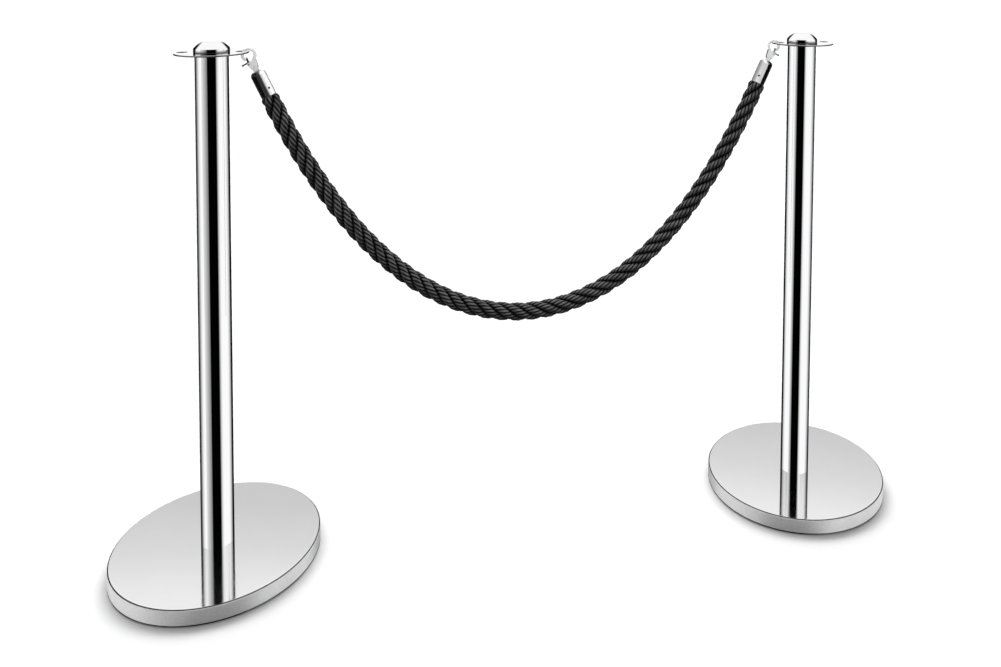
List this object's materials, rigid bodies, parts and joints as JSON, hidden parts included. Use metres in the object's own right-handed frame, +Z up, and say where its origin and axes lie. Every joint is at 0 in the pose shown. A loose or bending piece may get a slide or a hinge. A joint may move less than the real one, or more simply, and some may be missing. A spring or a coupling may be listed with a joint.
{
  "type": "rope barrier stanchion set",
  "caption": "Rope barrier: polished tube posts on round weighted bases, ring-plate heads with low crowns, joined by a hanging twisted rope on snap hooks.",
  "frame": {"origin": "on the floor, midway between the axes of the posts", "axes": "+X from post A to post B, +Z up, the rope hangs in the XZ plane"},
  "size_m": [1.5, 0.36, 0.95],
  "materials": {
    "polished_tube": "mirror polished",
    "polished_head": "mirror polished",
    "base_steel": "polished top, fine satin rim",
    "cast_filler": "rough cast",
    "floor_rubber": "matt",
    "zinc_steel": "zinc plated",
    "plated_fitting": "bright chrome plate",
    "plated_gate": "chrome plate",
    "dark_screw": "blackened",
    "twisted_rope": "satin cords, twisted"
  },
  "bodies": {
    "post_a": {"base_cover_a": "base_steel", "base_weight_a": "cast_filler", "floor_ring_a": "floor_rubber", "base_washer_a": "zinc_steel", "base_bolt_a": "zinc_steel", "pole_tube_a": "polished_tube", "foot_insert_a": "zinc_steel", "head_insert_a": "zinc_steel", "ring_plate_a": "polished_head", "crown_a": "polished_head", "crown_stud_a": "zinc_steel"},
    "rope_left_end": {"hook_body_a": "plated_fitting", "gate_pin_a": "zinc_steel", "gate_spring_a": "zinc_steel", "swivel_pin_a": "plated_fitting", "rope_left": "twisted_rope"},
    "gate_a": {"hook_gate_a": "plated_gate"},
    "swivel_a": {"ferrule_a": "plated_fitting", "ferrule_screw_a": "dark_screw"},
    "rope_mid": {"rope_middle": "twisted_rope"},
    "rope_right_end": {"hook_body_b": "plated_fitting", "gate_pin_b": "zinc_steel", "gate_spring_b": "zinc_steel", "swivel_pin_b": "plated_fitting", "rope_right": "twisted_rope"},
    "gate_b": {"hook_gate_b": "plated_gate"},
    "swivel_b": {"ferrule_b": "plated_fitting", "ferrule_screw_b": "dark_screw"},
    "post_b": {"base_cover_b": "base_steel", "base_weight_b": "cast_filler", "floor_ring_b": "floor_rubber", "base_washer_b": "zinc_steel", "base_bolt_b": "zinc_steel", "pole_tube_b": "polished_tube", "foot_insert_b": "zinc_steel", "head_insert_b": "zinc_steel", "ring_plate_b": "polished_head", "crown_b": "polished_head", "crown_stud_b": "zinc_steel"}
  },
  "joints": [
    {"name": "span", "type": "slide", "parent": "post_a", "child": "post_b", "axis": [1, 0, 0], "range_m": [-0.15, 0.1]},
    {"name": "rope_sway", "type": "hinge", "parent": "post_a", "child": "rope_left_end", "pos_m": [-0.51216, 0, 0.93255], "axis": [1, 0, 0], "range_deg": [-25, 25]},
    {"name": "rope_sag_left", "type": "slide", "parent": "rope_left_end", "child": "rope_mid", "axis": [0.7507, 0, 0.6606], "range_m": [-0.105, 0.072], "deforming": ["rope_left", "rope_middle"]},
    {"name": "rope_sag_right", "type": "slide", "parent": "rope_mid", "child": "rope_right_end", "axis": [0.7507, 0, -0.6606], "range_m": [-0.105, 0.072], "deforming": ["rope_right"]},
    {"name": "gate_a_open", "type": "hinge", "parent": "rope_left_end", "child": "gate_a", "pos_m": [-0.50716, 0, 0.90592], "axis": [0, 1, 0], "range_deg": [0, 25], "stiffness_Nm_per_rad": 0.02, "deforming": ["gate_spring_a"]},
    {"name": "gate_b_open", "type": "hinge", "parent": "rope_right_end", "child": "gate_b", "pos_m": [0.50716, 0, 0.90592], "axis": [0, -1, 0], "range_deg": [0, 25], "stiffness_Nm_per_rad": 0.02, "deforming": ["gate_spring_b"]},
    {"name": "ferrule_a_turn", "type": "hinge", "parent": "rope_left_end", "child": "swivel_a", "pos_m": [-0.49107, 0, 0.88633], "axis": [0.4152, 0, -0.9097], "continuous": true},
    {"name": "ferrule_b_turn", "type": "hinge", "parent": "rope_right_end", "child": "swivel_b", "pos_m": [0.49107, 0, 0.88633], "axis": [-0.4152, 0, -0.9097], "continuous": true}
  ],
  "couplings": [
    {"joint": "rope_sag_left", "follows": "span", "ratio": 0.66603},
    {"joint": "rope_sag_right", "follows": "span", "ratio": 0.66603},
    {"joint": "ferrule_b_turn", "follows": "ferrule_a_turn", "ratio": -1}
  ]
}
